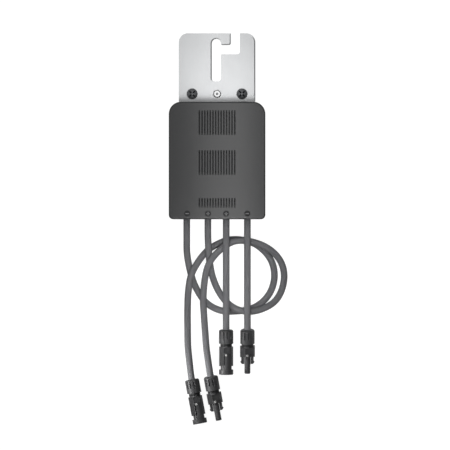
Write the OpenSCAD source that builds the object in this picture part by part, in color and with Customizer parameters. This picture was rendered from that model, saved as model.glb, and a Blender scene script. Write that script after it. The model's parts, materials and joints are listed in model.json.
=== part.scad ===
// Power optimizer for a solar panel: sealed housing, mounting bracket, four cables with locking connectors.
// It lies on its rear cover. +X is right and +Y is towards the bracket in the front view, +Z is forward.
// The origin is under the middle of the housing and bracket. All sizes are in millimetres.

/* [Housing] */
// Width of the housing
body_w = 129; // [122:1:140]
// Length of the housing, from the cable wall to the bracket
body_len = 157; // [150:1:175]
// Depth from the rear face to the front face
body_depth = 42; // [40:1:50]
// Corner radius at the bracket end
top_corner_r = 16.5; // [12:0.5:19]
// Corner radius at the cable end
bottom_corner_r = 6; // [5:0.5:9]
// Rounding of the front edge
edge_r = 2; // [1.5:0.25:4]
// Side wall thickness
wall = 2.8; // [2.2:0.1:3.4]
// Front wall thickness
front_wall = 3.4; // [3:0.1:4.5]
// Radius of the screw posts in the corners
post_r = 3.8; // [3.4:0.1:4.2]
// Distance of the posts from the outside at the cable end
post_inset = 8.2; // [7.5:0.1:9.5]
// Distance of the posts from the outside at the bracket end
top_post_inset = 10.5; // [9.5:0.1:12]

/* [Grooves] */
// Grooves in a block
groove_count = 14; // [8:1:18]
// Distance between grooves
groove_pitch = 3.63; // [3.2:0.01:4.2]
// Width of a groove
groove_w = 1.9; // [1.2:0.1:2.4]
// Depth of a groove
groove_depth = 2.2; // [0.8:0.1:2.4]
// Width of a groove's flat floor
groove_floor = 0.3; // [0.2:0.1:0.8]
// Length of the sloped run-out at each end of a groove
groove_ramp = 4.5; // [2:0.5:4.5]
// Length of the upper and middle blocks
long_block = 33; // [28:0.5:36]
// Length of the lower block
short_block = 13.2; // [10:0.2:15]
// Start of the upper block below the top edge
upper_block_at = 11.4; // [9:0.2:14]
// Start of the middle block below the top edge
middle_block_at = 64.9; // [56:0.1:70]
// Start of the lower block below the top edge
lower_block_at = 128.6; // [112:0.2:130]

/* [Rear cover] */
// Thickness of the rear cover
cover_t = 4; // [3.6:0.1:5]
// Step from the housing's outside to the cover's edge
cover_inset = 0.5; // [0.3:0.1:1]
// Thickness of the gasket
gasket_t = 0.8; // [0.5:0.1:1.2]
// Width of the gasket
gasket_w = 1.8; // [1.4:0.1:2]
// Width of the tab that carries the bracket
tab_w = 88; // [80:1:94]
// Reach of the tab above the housing
tab_reach = 21; // [19:0.5:24]
// Corner radius of the tab
tab_r = 6; // [3:0.5:9]
// Shank radius of the cover screws
cover_screw_r = 1.5; // [1.25:0.05:1.75]
// Length of the cover screws
cover_screw_len = 14; // [10:0.5:18]

/* [Bracket] */
// Width of the bracket
bracket_w = 102.4; // [96:0.2:110]
// Reach of the bracket above the housing
bracket_reach = 92; // [88:0.5:110]
// Thickness of the bracket
bracket_t = 2.5; // [2:0.1:3]
// Corner radius at the top of the bracket
bracket_r = 12; // [8:0.5:16]
// Width of the bolt slot
slot_w = 12.3; // [10:0.1:13]
// Middle of the bolt slot from the centre line
slot_x = -0.9; // [-4:0.1:2]
// Metal left above the bolt slot
slot_top_margin = 7.6; // [6:0.1:10]
// Lower end of the bolt slot above the housing
slot_from = 27.7; // [24:0.1:36]
// Width of the passage from the slot to the entry
passage_w = 12.3; // [10:0.1:13]
// Top of the passage below the bracket's top edge
passage_at = 15.8; // [15.6:0.1:20]
// Width of the entry channel
entry_w = 12; // [10:0.1:13]
// Middle of the entry channel from the centre line
entry_x = 24.5; // [22:0.1:28]
// Height of the fasteners above the housing
fastener_at = 10.9; // [9:0.1:12]
// Half the distance between the bracket screws
bracket_screw_x = 33.3; // [26:0.1:34]
// Head radius of the bracket screws
bracket_head_r = 7.2; // [6:0.1:8]
// Head height of the bracket screws
bracket_head_h = 3.8; // [3.4:0.1:5]
// Shank radius of the bracket screws
bracket_screw_r = 3; // [2.5:0.1:3.5]
// Head radius of the rivet
rivet_head_r = 5.9; // [5:0.1:7]
// Body radius of the rivet
rivet_r = 2.4; // [2:0.1:3]

/* [Inside] */
// Height of the board above the rear cover
board_gap = 6; // [5.2:0.1:7]
// Thickness of the board
board_t = 1.6; // [1.2:0.1:2.4]
// Width of the inductor core
core_w = 34; // [31:0.5:38]
// Depth of the inductor core
core_d = 22; // [18:0.5:26]
// Height of the inductor core
core_h = 20; // [16:0.5:22]
// Outer radius of the inductor winding
winding_r = 12.2; // [10:0.1:13]
// Radius of the core's centre post
core_post_r = 6; // [5:0.1:7]
// Radius of the capacitors
capacitor_r = 6.3; // [5:0.1:7]
// Height of the capacitors
capacitor_h = 20; // [14:0.5:22]
// Thickness of the power transistors
transistor_h = 2.3; // [1.8:0.1:2.8]
// Thickness of the thermal pad
pad_t = 1.5; // [1:0.1:2]
// Width of a cable terminal
terminal_w = 9; // [7:0.1:11]
// Length of a cable terminal
terminal_len = 8; // [6:0.1:9]

/* [Cables] */
// Outer diameter of the cables
cable_d = 9; // [7.6:0.1:9]
// Height of the cables at the housing wall
cable_z = 22.5; // [20:0.1:24]
// Distance of the inner cables from the centre line
inner_cable_x = 12.25; // [11:0.05:16]
// Distance of the outer cables from the centre line
outer_cable_x = 40.5; // [34:0.1:42]
// Radius of a grommet in the wall
grommet_r = 7; // [6.2:0.1:7.6]
// Radius of a grommet's collar behind the wall
collar_r = 8.6; // [8:0.1:9.6]
// Length of a grommet's collar
collar_len = 4; // [3:0.1:5]

/* [Connectors] */
// Outer diameter of the gland nuts
nut_d = 19.2; // [18.4:0.1:20]
// Length of the gland nuts
nut_len = 18.8; // [17:0.1:20]
// Grip grooves round a gland nut
grip_count = 12; // [6:1:16]
// Diameter of the threaded neck
neck_d = 15; // [14.4:0.1:15.2]
// Length of neck that shows below the nut
neck_len = 4.3; // [3:0.1:6]
// Width across the cheeks of a barrel connector
barrel_w = 18.8; // [17.6:0.1:19.6]
// Length of a barrel connector's body
barrel_len = 25.5; // [24:0.1:28]
// Length of the latch window behind the barrel's end ring
window_len = 5.2; // [4.4:0.1:6]
// Diameter of the barrel connector's end ring
ring_d = 19.2; // [18:0.1:20]
// Length of the barrel connector's end ring
ring_len = 6.5; // [5.5:0.1:8]
// Radius of the barrel connector's mouth
mouth_r = 6; // [5.4:0.1:6.4]
// Depth of the barrel connector's mouth
mouth_depth = 9; // [8:0.1:11]
// Width across the cheeks of a latch connector
latch_w = 19.9; // [18.6:0.1:20.6]
// Length of a latch connector's body
latch_len = 13.4; // [12:0.1:16]
// Length of the latch arms
arm_len = 10.6; // [9:0.1:12]
// Width over the latch arms
arm_span = 16.7; // [16:0.1:17.4]
// Width over the latch hooks
hook_span = 18.5; // [17.8:0.1:19.2]
// Diameter of the nose
nose_d = 7.9; // [7.4:0.1:8.2]
// Length of the nose beyond the latch body
nose_len = 23.8; // [22:0.1:26]
// Length of the slim front of the nose
nose_tip_len = 12; // [9:0.1:12]
// Diameter of the contact pins
contact_d = 4; // [3.6:0.1:4.2]

/* [Hidden] */

$fn = 64;
// Overlap of a cut past the face that it opens
past = 1;
// Clearance between pieces that slide together by hand
slip = 0.1;
// Clearance between the bracket and the housing
bracket_gap = 0.4;

// Housing and bracket share one middle
total_len = body_len + bracket_reach;
bottom_y = -total_len / 2;
top_y = bottom_y + body_len;
bracket_top = total_len / 2;
mid_y = (bottom_y + top_y) / 2;
rim_z = cover_t + gasket_t;
fastener_y = top_y + fastener_at;
post_places = [
    [-body_w / 2 + post_inset, bottom_y + post_inset],
    [body_w / 2 - post_inset, bottom_y + post_inset],
    [-body_w / 2 + top_post_inset, top_y - top_post_inset],
    [body_w / 2 - top_post_inset, top_y - top_post_inset]];
cable_x = [-outer_cable_x, -inner_cable_x, inner_cable_x, outer_cable_x];

// Cover screws sit in counterbores in the rear face
cover_head_r = 2 * cover_screw_r;
cover_head_h = 1.7;
head_sink = 0.3;
cover_recess = [1.3 * cover_head_r, 0.7, 1];
cover_recess_hub = 0;

// Corners, head shapes and driver recesses of the bracket's fasteners
small_corner_r = 1;
bracket_recess = [1.5 * bracket_head_r, 2.7, 2.8];
bracket_recess_hub = 1.5;
dome_share = 0.4;
rivet_tail_r = 2 * rivet_r;
rivet_flange_h = 0.5;
rivet_head_h = 2.1;
rivet_step = 0.2;
rivet_slope = 1.6;
rivet_hole_r = 1.5;
rivet_hole_point = 2;

// Corner radii of the bolt way: hook tip, both sides of the slot, slot foot and passage foot
hook_tip_r = 2.8;
slot_upper_r = 1.2;
slot_lower_r = 1.3;
slot_foot_r = 4;
passage_foot_r = 3.5;

// Board, clear of the posts at every corner
post_clearance = 0.7;
board_margin = top_post_inset + post_r + post_clearance;
board_w = body_w - 2 * board_margin;
board_y0 = bottom_y + board_margin;
board_y1 = top_y - board_margin;
board_z = cover_t + board_gap;
board_top = board_z + board_t;
standoff_r = 3.4;
board_screw_r = 1.4;
board_head_r = 2.6;
board_head_h = 1.8;
board_screw_reach = 4;
board_corner_r = 2;
pilot_spare = 0.5;
standoff_margin = 6;
standoff_lower = 14;
standoff_upper = 7;
standoff_x = board_w / 2 - standoff_margin;
standoff_y = [board_y0 + standoff_lower, board_y1 - standoff_upper];
standoff_places = [for (x = [-standoff_x, standoff_x], y = standoff_y) [x, y]];
inductor_x = -24;
inductor_at = 30;
inductor_place = [inductor_x, mid_y + inductor_at];
core_yoke = 3;
winding_gap = 0.25;
input_capacitor_at = 36;
output_capacitor_at = -14;
capacitor_spread = 8;
input_capacitor_y = [for (s = [1, -1]) mid_y + input_capacitor_at + s * capacitor_spread];
output_capacitor_y = [for (s = [1, -1]) mid_y + output_capacitor_at + s * capacitor_spread];
capacitor_x = 26;
capacitor_edge_r = 1;
transistor_size = [10, 9];
transistor_x = [-30, -10, 10, 30];
transistor_y = mid_y + 2;
pad_size = [76, 13];
terminal_hole_r = 2.2;
terminal_back = 1;
// Controller chips: corner from the middle of the board, and size
chip_corners = [[-28, -14], [-8, -30], [-2, -8]];
chip_sizes = [[12, 12, 1.6], [8, 6, 1.5], [5, 5, 1]];

// Connector stations along the axis, from the cable end of the nut
nut_r = nut_d / 2;
neck_r = neck_d / 2;
cable_r = cable_d / 2;
nut_edge_r = 2.5;
nut_lip = 3;
grip_depth = 1.5;
grip_w = 2.4;
grip_floor = 0.5;
grip_phase = 20;
grip_from = nut_edge_r + 0.2;
grip_len = 0.52 * nut_len;
seal_len = 6.2;
neck_from = nut_lip + seal_len + 2 * slip;
body_from = nut_len + neck_len;
cable_inside = 16;
crimp_len = 9;
crimp_r = 3.2;
shoulder_len = 2.4;
shoulder_r = 4.2;
shoulder_from = cable_inside + crimp_len;
shoulder_to = shoulder_from + shoulder_len;
core_step = 0.2;
core_r = neck_r + core_step;
cheek_high = 6.8;
cheek_low = 4.2;
cheek_r = 1.2;
mark_r = 1.1;
mark_h = 0.7;
mark_root = 1.2;
mark_at = body_from + 0.82 * latch_len;
barrel_to = body_from + barrel_len;
ring_from = barrel_to + window_len;
barrel_end = ring_from + ring_len;
mouth_from = barrel_end - mouth_depth;
ring_edge_r = 0.8;
slit_x = -3.2;
slit_w = 1.6;
slit_floor = 0.3;
slit_depth = 2.4;
slit_len = 0.46 * barrel_len;
slit_end = 1.3;
recess_tilt = 15;
barrel_recess = [8.6, 0.9, 0.6 * latch_len];
barrel_recess_from = body_from + 0.8;
pin_setback = 0.6;
pin_end = mouth_from - pin_setback;
pin_room = 2.2;
pin_tip = 1;
pin_taper = 0.8;
latch_to = body_from + latch_len;
arm_to = latch_to + arm_len;
nose_end = latch_to + nose_len;
nose_r = nose_d / 2;
nose_step = 0.25;
nose_root_r = nose_r + nose_step;
latch_recess = [9.6, 1.2, 0.6 * latch_len];
latch_recess_from = body_from + 1.4;
contact_r = contact_d / 2;
socket_wall = 0.75;
socket_r = contact_r + socket_wall;
socket_front = 1.6;
socket_floor = 2;
socket_to = nose_end - socket_front;
arm_w = 4;
arm_t = 3.95;
hook_len = 3.6;
hook_back = 0.3;
hook_face = 1.1;
hook_taper = 1.2;
sleeve_from = shoulder_to + slip;
o_ring_r = 0.4;
o_ring_at = latch_to + 1.6;
o_ring_sink = 0.7;
o_ring_seat_r = nose_root_r - o_ring_sink;

// Each cable's end: x, distance from the housing's bottom edge, turn to the right and dip, in degrees
cable_ends = [
    [-33.9, 214, 10.8, 0],
    [-8.7, 210, 10.6, 6.2],
    [12.1, 147.5, 0, 3.6],
    [40.6, 147.5, 0, 14]];
floor_gap = 0.05;
// A dipped connector lies on its widest ring, on its nut or on the tip of its nose
rest_r = [nut_r, nut_r, ring_d / 2, nose_r];
rest_at = [0, nut_len, barrel_end, nose_end];

// Route of each cable between housing and connector: x, distance from the bottom edge, height
route_points = [
    [[-40.5, 24, 18.4], [-40, 47, 9.4], [-35, 73, 5.1], [-27.5, 93, 4.7], [-14, 112, 4.6], [5, 122, 4.6],
     [26, 123, 4.6], [46, 119.5, 4.6], [63, 108.5, 4.6], [74, 91, 4.6], [76.5, 70, 4.6], [70, 51, 4.6],
     [54, 35, 4.6], [36, 28, 4.6], [16, 27.5, 4.6], [-1, 34, 4.6], [-13, 42, 4.6], [-25, 56.5, 8.2],
     [-34.7, 75, 14.2], [-38.5, 97, 11.5], [-39.5, 120, 6.5], [-39.5, 145, 4.7], [-39, 170, 5.2],
     [-36.8, 192, 8]],
    [[-12.2, 22, 19], [-11.4, 40.5, 14.8], [-9.8, 58, 11.2], [-6, 77, 6.4], [2.5, 97, 5.2],
     [14.5, 112.5, 9], [28, 120.8, 13.8], [45, 123.3, 13.9], [63, 118.8, 10.5], [78, 109, 6], [87, 93, 4.7],
     [89.7, 73, 4.6], [84.5, 55.5, 5.5], [72, 41.5, 10.4], [55, 32.5, 13.8], [36, 28.5, 14.1],
     [20, 30.5, 14.1], [4, 41, 16], [-9.5, 57, 20.8], [-15.5, 75, 19.4], [-18.5, 106.5, 14.4],
     [-17.5, 128, 9.8], [-16, 150, 5.8], [-14.3, 172, 5.8], [-11.6, 191, 9]],
    [[12.2, 34, 24.2], [12.2, 60, 23], [12.2, 86, 20.8], [12.2, 110, 18.4], [12.1, 130, 15.6]],
    [[40.5, 29, 23.6], [40.5, 55, 24], [40.5, 80, 24], [40.5, 103, 24], [40.5, 123, 23.5]]];
tube_sides = 12;

housing_colour = "#4c4c4d";
metal_colour = "#d4d5d6";
cast_colour = "#a9abac";
cable_colour = "#606061";
connector_colour = "#2c2c2d";
rubber_colour = "#1d1d1e";
screw_colour = "#3c3d3e";
brass_colour = "#c9a24b";
tin_colour = "#c4c4bf";

// Position of a cable's end at the nut
function end_point(i) = let (e = cable_ends[i])
    [e[0], bottom_y - e[1], rest_r[i] * cos(e[3]) + rest_at[i] * sin(e[3]) + floor_gap];

// Direction of a connector's axis, away from the cable
function end_axis(i) = let (e = cable_ends[i])
    [cos(e[3]) * sin(e[2]), -cos(e[3]) * cos(e[2]), -sin(e[3])];

// Whole path of a cable, from its terminal through the grommet to the contact
function cable_path(i) = concat(
    [[cable_x[i], board_y0, cable_z], [cable_x[i], bottom_y, cable_z]],
    [for (p = route_points[i]) [p[0], bottom_y - p[1], p[2]]],
    [end_point(i), end_point(i) + cable_inside * end_axis(i)]);

function unit(v) = v / norm(v);

// Tangent of a path at a point, level at the cable wall and along the axis in the connector
function tangent(path, i) = let (last = len(path) - 1)
    i <= 1 ? unit(path[1] - path[0])
    : i >= last - 1 ? unit(path[last] - path[last - 1])
    : unit(path[i + 1] - path[i - 1]);

// One ring of points round a path
function ring(centre, along, r) = let (side = unit(cross(along, [0, 0, 1])), up = cross(side, along))
    [for (k = [0 : tube_sides - 1]) let (a = 360 * k / tube_sides)
        centre + r * cos(a) * side + r * sin(a) * up];

// Closed tube swept along a path
module tube(path, r) {
    n = tube_sides;
    last = len(path) - 1;
    points = [for (i = [0 : last]) each ring(path[i], tangent(path, i), r)];
    sides = [for (i = [0 : last - 1], k = [0 : n - 1])
        let (a = i * n + k, b = i * n + (k + 1) % n)
        each [[a, b, b + n], [a, b + n, a + n]]];
    first_cap = [for (k = [n - 1 : -1 : 0]) k];
    last_cap = [for (k = [0 : n - 1]) last * n + k];
    polyhedron(points = points, faces = concat([first_cap], sides, [last_cap]), convexity = 10);
}

// Outline with one radius at the bracket end and one at the cable end
module end_outline(w, y0, y1, r0, r1) {
    translate([-w / 2, y0 + r0]) square([w, y1 - r1 - y0 - r0]);
    translate([-w / 2 + r0, y0]) square([w - 2 * r0, r0]);
    translate([-w / 2 + r1, y1 - r1]) square([w - 2 * r1, r1]);
    for (x = [-1, 1]) {
        translate([x * (w / 2 - r0), y0 + r0]) circle(r = r0);
        translate([x * (w / 2 - r1), y1 - r1]) circle(r = r1);
    }
}

// Outline of the housing, moved in by a distance
module housing_outline(inset) {
    end_outline(body_w - 2 * inset, bottom_y + inset, top_y - inset,
        bottom_corner_r - inset, top_corner_r - inset);
}

// Section through the front edge: a wall of some depth with its outer corner rounded
module edge_section(depth, h) {
    square([depth, h - edge_r]);
    square([depth - edge_r, h]);
    translate([depth - edge_r, h - edge_r]) circle(r = edge_r);
}

// Outside of the housing, from the rim to the rounded front edge
module housing_block() {
    h = body_depth - rim_z;
    side_len = body_len - top_corner_r - bottom_corner_r;
    translate([0, 0, rim_z]) {
        for (x = [0, 1]) mirror([x, 0, 0]) {
            translate([body_w / 2 - top_corner_r, top_y - top_corner_r, 0])
                rotate_extrude(angle = 90) edge_section(top_corner_r, h);
            translate([body_w / 2 - bottom_corner_r, bottom_y + bottom_corner_r, 0])
                rotate([0, 0, -90]) rotate_extrude(angle = 90) edge_section(bottom_corner_r, h);
            translate([body_w / 2 - top_corner_r, top_y - top_corner_r, 0])
                rotate([90, 0, 0]) linear_extrude(side_len) edge_section(top_corner_r, h);
        }
        translate([-body_w / 2 + top_corner_r, top_y - top_corner_r, 0])
            rotate([90, 0, 90]) linear_extrude(body_w - 2 * top_corner_r) edge_section(top_corner_r, h);
        translate([body_w / 2 - bottom_corner_r, bottom_y + bottom_corner_r, 0])
            rotate([90, 0, -90]) linear_extrude(body_w - 2 * bottom_corner_r)
                edge_section(bottom_corner_r, h);
        translate([-body_w / 2 + top_corner_r, bottom_y + bottom_corner_r, 0])
            cube([body_w - 2 * top_corner_r, side_len, h]);
    }
}

// One block of upright grooves in the front face: leaning flanks, a narrow floor and sloped ends
module groove_block(from_top, length) {
    for (i = [0 : groove_count - 1])
        translate([(i - (groove_count - 1) / 2) * groove_pitch, top_y - from_top - length, body_depth])
            intersection() {
                rotate([90, 0, 90]) translate([0, 0, -groove_w]) linear_extrude(2 * groove_w) polygon([
                    [0, 0], [groove_ramp, -groove_depth], [length - groove_ramp, -groove_depth],
                    [length, 0], [length, past], [0, past]]);
                translate([0, length + past, 0]) rotate([90, 0, 0]) linear_extrude(length + 2 * past)
                    polygon([
                        [-groove_w / 2, 2 * past], [-groove_w / 2, 0], [-groove_floor / 2, -groove_depth],
                        [groove_floor / 2, -groove_depth], [groove_w / 2, 0], [groove_w / 2, 2 * past]]);
            }
}

module front_housing() color(housing_colour) {
    difference() {
        housing_block();
        translate([0, 0, rim_z - past])
            linear_extrude(body_depth - front_wall - rim_z + past) housing_outline(wall);
        groove_block(upper_block_at, long_block);
        groove_block(middle_block_at, long_block);
        groove_block(lower_block_at, short_block);
        for (x = cable_x) translate([x, bottom_y - past, cable_z])
            rotate([-90, 0, 0]) cylinder(r = grommet_r + slip, h = wall + 2 * past);
    }
    for (p = post_places) translate([p[0], p[1], cover_t]) difference() {
        cylinder(r = post_r, h = body_depth - front_wall - cover_t + past);
        translate([0, 0, -past]) cylinder(r = cover_screw_r + slip, h = cover_screw_len + past);
    }
}

module rear_cover() color(cast_colour) difference() {
    union() {
        linear_extrude(cover_t) {
            housing_outline(cover_inset);
            end_outline(tab_w, top_y - top_corner_r, top_y + tab_reach, small_corner_r, tab_r);
        }
        for (p = standoff_places) translate([p[0], p[1], 0]) cylinder(r = standoff_r, h = board_z);
        translate([-pad_size[0] / 2, transistor_y - pad_size[1] / 2, 0])
            cube([pad_size[0], pad_size[1], board_z - transistor_h - pad_t]);
    }
    for (p = post_places) translate([p[0], p[1], -past]) {
        cylinder(r = cover_screw_r + 2 * slip, h = cover_t + 2 * past);
        cylinder(r = cover_head_r + 2 * slip, h = head_sink + cover_head_h + past);
    }
    for (p = standoff_places) translate([p[0], p[1], board_z - board_screw_reach - pilot_spare])
        cylinder(r = board_screw_r + slip, h = board_screw_reach + pilot_spare + past);
    for (x = [-1, 1]) translate([x * bracket_screw_x, fastener_y, -past])
        cylinder(r = bracket_screw_r + slip, h = cover_t + 2 * past);
    translate([0, fastener_y, -past]) {
        cylinder(r = rivet_r + slip, h = cover_t + 2 * past);
        cylinder(r = rivet_tail_r + 2 * slip, h = cover_t / 2 + past);
    }
}

module rear_gasket() color(rubber_colour)
    translate([0, 0, cover_t]) linear_extrude(gasket_t) difference() {
        housing_outline(cover_inset + slip);
        housing_outline(cover_inset + slip + gasket_w);
    }

// Driver recess of four wings with leaning flanks, of some span, width and depth, sunk from z = 0
module cross_recess(size, hub) {
    for (a = [45 : 90 : 315]) rotate([0, 0, a]) translate([hub, 0, 0])
        rotate([90, 0, 90]) linear_extrude(size[0] / 2 - hub) polygon([
            [-size[1] / 2, past], [-size[1] / 2, 0], [0, -size[2]], [size[1] / 2, 0], [size[1] / 2, past]]);
}

module cover_screws() color(screw_colour) for (p = post_places) translate([p[0], p[1], head_sink])
    difference() {
        union() {
            cylinder(r = cover_head_r, h = cover_head_h);
            cylinder(r = cover_screw_r, h = cover_screw_len);
        }
        rotate([180, 0, 0]) cross_recess(cover_recess, cover_recess_hub);
    }

// Hollow corner between two edges that meet at the origin, for rounding a corner
module corner_gore(r) difference() {
    square(r);
    translate([r, r]) circle(r = r);
}

module gore_at(x, y, quarter, r) translate([x, y]) rotate(90 * quarter) corner_gore(r);

// Hook-shaped way for a bolt: entry at the top edge, passage to the left, slot down and up
module bolt_way() {
    slot_y0 = top_y + slot_from;
    slot_arc_y = bracket_top - slot_top_margin - slot_w / 2;
    passage_y1 = bracket_top - passage_at;
    passage_y0 = passage_y1 - passage_w;
    slot_right = slot_x + slot_w / 2;
    entry_left = entry_x - entry_w / 2;
    entry_right = entry_x + entry_w / 2;
    difference() {
        union() {
            translate([slot_x - slot_w / 2, slot_y0]) square([slot_w, slot_arc_y - slot_y0]);
            translate([slot_x, slot_arc_y]) circle(r = slot_w / 2);
            translate([slot_x, passage_y0]) square([entry_right - slot_x, passage_w]);
            translate([entry_left, passage_y0]) square([entry_w, bracket_top - passage_y0 + past]);
            gore_at(entry_left, passage_y1, 1, hook_tip_r);
            gore_at(slot_right, passage_y1, 0, slot_upper_r);
            gore_at(slot_right, passage_y0, 3, slot_lower_r);
        }
        gore_at(slot_x - slot_w / 2, slot_y0, 0, slot_foot_r);
        gore_at(slot_right, slot_y0, 1, slot_foot_r);
        gore_at(entry_right, passage_y0, 1, passage_foot_r);
    }
}

module mounting_bracket() color(metal_colour) translate([0, 0, cover_t]) linear_extrude(bracket_t)
    difference() {
        end_outline(bracket_w, top_y + bracket_gap, bracket_top, small_corner_r, bracket_r);
        bolt_way();
        for (x = [-1, 1]) translate([x * bracket_screw_x, fastener_y])
            circle(r = bracket_screw_r + 3 * slip);
        translate([0, fastener_y]) circle(r = rivet_r + slip);
    }

// Head with a flat seat at z = 0, an upright rim and a low dome
module dome_head(r, h) {
    dome_h = dome_share * h;
    dome_r = (r * r + dome_h * dome_h) / (2 * dome_h);
    intersection() {
        cylinder(r = r, h = h);
        translate([0, 0, h - dome_r]) sphere(r = dome_r);
    }
}

module bracket_screws() color(screw_colour) for (x = [-1, 1])
    translate([x * bracket_screw_x, fastener_y, cover_t + bracket_t]) {
        difference() {
            dome_head(bracket_head_r, bracket_head_h);
            translate([0, 0, bracket_head_h]) cross_recess(bracket_recess, bracket_recess_hub);
        }
        translate([0, 0, head_sink - cover_t - bracket_t])
            cylinder(r = bracket_screw_r, h = cover_t + bracket_t - head_sink);
    }

module bracket_rivet() color(metal_colour) translate([0, fastener_y, cover_t + bracket_t]) difference() {
    union() {
        cylinder(r = rivet_head_r, h = rivet_flange_h);
        cylinder(r1 = rivet_head_r - rivet_step, r2 = rivet_head_r - rivet_step - rivet_slope,
            h = rivet_head_h);
        translate([0, 0, -bracket_t - cover_t / 2 - past / 2])
            cylinder(r = rivet_r, h = bracket_t + cover_t / 2 + past);
        translate([0, 0, head_sink - bracket_t - cover_t])
            cylinder(r = rivet_tail_r, h = cover_t / 2 - head_sink);
    }
    cylinder(r = rivet_hole_r, h = rivet_head_h + past);
    translate([0, 0, -rivet_hole_point]) cylinder(r1 = 0, r2 = rivet_hole_r, h = rivet_hole_point);
}

module circuit_board() color("#1f5a38") translate([0, 0, board_z]) linear_extrude(board_t) difference() {
    end_outline(board_w, board_y0, board_y1, board_corner_r, board_corner_r);
    for (p = standoff_places) translate(p) circle(r = board_screw_r + 2 * slip);
}

module board_screws() color(tin_colour) for (p = standoff_places) translate([p[0], p[1], board_top]) {
    cylinder(r = board_head_r, h = board_head_h);
    translate([0, 0, -board_t - board_screw_reach])
        cylinder(r = board_screw_r, h = board_t + board_screw_reach);
}

module inductor_core() color("#3a3a3c") translate([inductor_place[0], inductor_place[1], board_top])
    difference() {
        translate([-core_w / 2, -core_d / 2, 0]) cube([core_w, core_d, core_h]);
        translate([0, 0, core_yoke]) difference() {
            cylinder(r = winding_r + winding_gap, h = core_h - 2 * core_yoke);
            cylinder(r = core_post_r, h = core_h - 2 * core_yoke);
        }
    }

module inductor_winding() color("#b5652d")
    translate([inductor_place[0], inductor_place[1], board_top + core_yoke + winding_gap]) difference() {
        cylinder(r = winding_r, h = core_h - 2 * core_yoke - 2 * winding_gap);
        translate([0, 0, -past]) cylinder(r = core_post_r + winding_gap, h = core_h);
    }

// Upright can with a rounded rolled edge at its top
module capacitor() rotate_extrude() {
    square([capacitor_r, capacitor_h - capacitor_edge_r]);
    square([capacitor_r - capacitor_edge_r, capacitor_h]);
    translate([capacitor_r - capacitor_edge_r, capacitor_h - capacitor_edge_r])
        circle(r = capacitor_edge_r);
}

module input_capacitors() color("#2a3b55")
    for (y = input_capacitor_y) translate([capacitor_x, y, board_top]) capacitor();

module output_capacitors() color("#2a3b55")
    for (y = output_capacitor_y) translate([capacitor_x, y, board_top]) capacitor();

module power_transistors() color("#242426") for (x = transistor_x)
    translate([x - transistor_size[0] / 2, transistor_y - transistor_size[1] / 2, board_z - transistor_h])
        cube([transistor_size[0], transistor_size[1], transistor_h]);

module thermal_pad() color("#8fa3b0")
    translate([-pad_size[0] / 2, transistor_y - pad_size[1] / 2, board_z - transistor_h - pad_t])
        cube([pad_size[0], pad_size[1], pad_t]);

module controller_chips() color("#1b1b1d") for (i = [0 : len(chip_sizes) - 1])
    translate([chip_corners[i][0], mid_y + chip_corners[i][1], board_top]) cube(chip_sizes[i]);

// Terminal posts that carry the cables' bare ends
module cable_terminals() color(brass_colour) for (x = cable_x)
    translate([x - terminal_w / 2, board_y0, board_top]) difference() {
        cube([terminal_w, terminal_len, cable_z + cable_r - board_top]);
        translate([terminal_w / 2, -past, cable_z - board_top])
            rotate([-90, 0, 0]) cylinder(r = terminal_hole_r, h = terminal_len - terminal_back + past);
    }

module grommet(i) color(rubber_colour) translate([cable_x[i], bottom_y, cable_z]) rotate([-90, 0, 0])
    difference() {
        union() {
            cylinder(r = grommet_r, h = wall + collar_len);
            translate([0, 0, wall]) cylinder(r = collar_r, h = collar_len);
        }
        translate([0, 0, -past]) cylinder(r = cable_r + slip, h = wall + collar_len + 2 * past);
    }

module cable(i) color(cable_colour) tube(cable_path(i), cable_r);

// Places a connector piece whose axis is z, with z = 0 at the cable end of the nut
module at_end(i) translate(end_point(i)) rotate([90 + cable_ends[i][3], 0, cable_ends[i][2]]) children();

module gland_nut(i) color(connector_colour) at_end(i) difference() {
    rotate_extrude() {
        translate([0, nut_edge_r]) square([nut_r, nut_len - nut_edge_r]);
        square([nut_r - nut_edge_r, nut_len]);
        translate([nut_r - nut_edge_r, nut_edge_r]) circle(r = nut_edge_r);
    }
    translate([0, 0, -past]) cylinder(r = cable_r + 2 * slip, h = nut_lip + 2 * past);
    translate([0, 0, nut_lip]) cylinder(r = neck_r + slip, h = nut_len);
    for (k = [0 : grip_count - 1]) rotate([0, 0, 360 * k / grip_count + grip_phase])
        translate([nut_r, 0, grip_from]) linear_extrude(grip_len) polygon([
            [past, -grip_w / 2], [past, grip_w / 2], [0, grip_w / 2], [-grip_depth, grip_floor / 2],
            [-grip_depth, -grip_floor / 2], [0, -grip_w / 2]]);
}

module cable_seal(i) color("#55585a") at_end(i) translate([0, 0, nut_lip + slip]) difference() {
    cylinder(r = neck_r, h = seal_len);
    translate([0, 0, -past]) cylinder(r = cable_r + slip, h = seal_len + 2 * past);
}

// Section of a connector body: round core with a cheek at each side, high on the left and low on the right
module cheek_section(w) {
    h = cheek_high + cheek_low;
    circle(r = core_r);
    for (a = [0, 180]) rotate(a) {
        translate([-w / 2 + cheek_r, -cheek_low]) square([w / 2 - cheek_r, h]);
        translate([-w / 2, -cheek_low + cheek_r]) square([w / 2, h - 2 * cheek_r]);
        for (y = [cheek_r - cheek_low, cheek_high - cheek_r])
            translate([-w / 2 + cheek_r, y]) circle(r = cheek_r);
    }
}

// Threaded neck and the body behind the mating end, with a round mark on its front
module connector_body(w, length) {
    translate([0, 0, neck_from]) cylinder(r = neck_r, h = body_from - neck_from + past);
    translate([0, 0, body_from]) linear_extrude(length) cheek_section(w);
    translate([0, core_r - mark_root, mark_at])
        rotate([-90, 0, 0]) cylinder(r = mark_r, h = mark_root + mark_h);
}

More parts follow.
